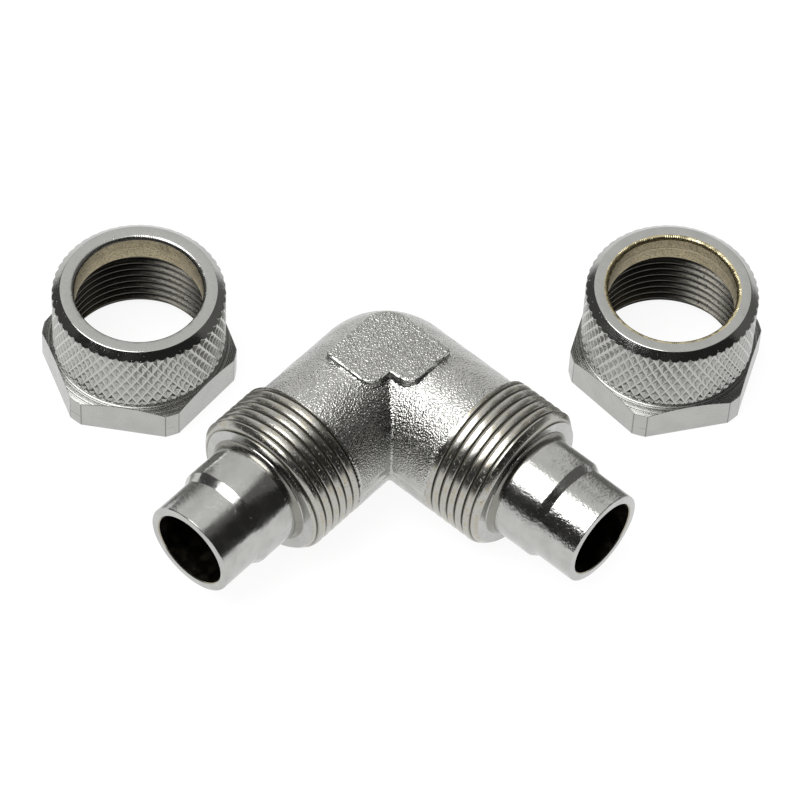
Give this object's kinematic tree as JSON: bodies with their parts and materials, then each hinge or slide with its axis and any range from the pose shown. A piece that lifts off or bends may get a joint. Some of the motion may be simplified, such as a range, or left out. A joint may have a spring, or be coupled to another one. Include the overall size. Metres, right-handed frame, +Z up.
{
  "type": "compression fitting",
  "caption": "Nickel plated right-angle union for push-on plastic tube: forged elbow body with threaded arms and stepped nozzles, and knurled union nuts with a hexagon foot.",
  "frame": {"origin": "on the bench plane, under the middle of the box round the elbow body and the loose nuts", "axes": "+Z up; the elbow lies flat with its right nozzle along +X and its left nozzle along -Y; the nuts stand on their hexagon feet with their thread axes along Z"},
  "size_m": [0.0622, 0.0646, 0.0159],
  "materials": {
    "forged_nickel": "nickel plated brass, blasted satin on the forging and bright on the turned arms",
    "turned_nickel": "nickel plated brass, bright turned faces, knurled grip, satin hexagon flats"
  },
  "bodies": {
    "elbow": {"elbow_body": "forged_nickel"},
    "left_nut": {"left_nut": "turned_nickel"},
    "right_nut": {"right_nut": "turned_nickel"}
  },
  "joints": [
    {"name": "left_nut_turn", "type": "hinge", "parent": "elbow", "child": "left_nut", "pos_m": [-0.02176, -0.01451, 0.0062], "axis": [0, 0, 1], "continuous": true},
    {"name": "right_nut_turn", "type": "hinge", "parent": "elbow", "child": "right_nut", "pos_m": [0.01796, 0.0229, 0.0062], "axis": [0, 0, 1], "continuous": true}
  ]
}
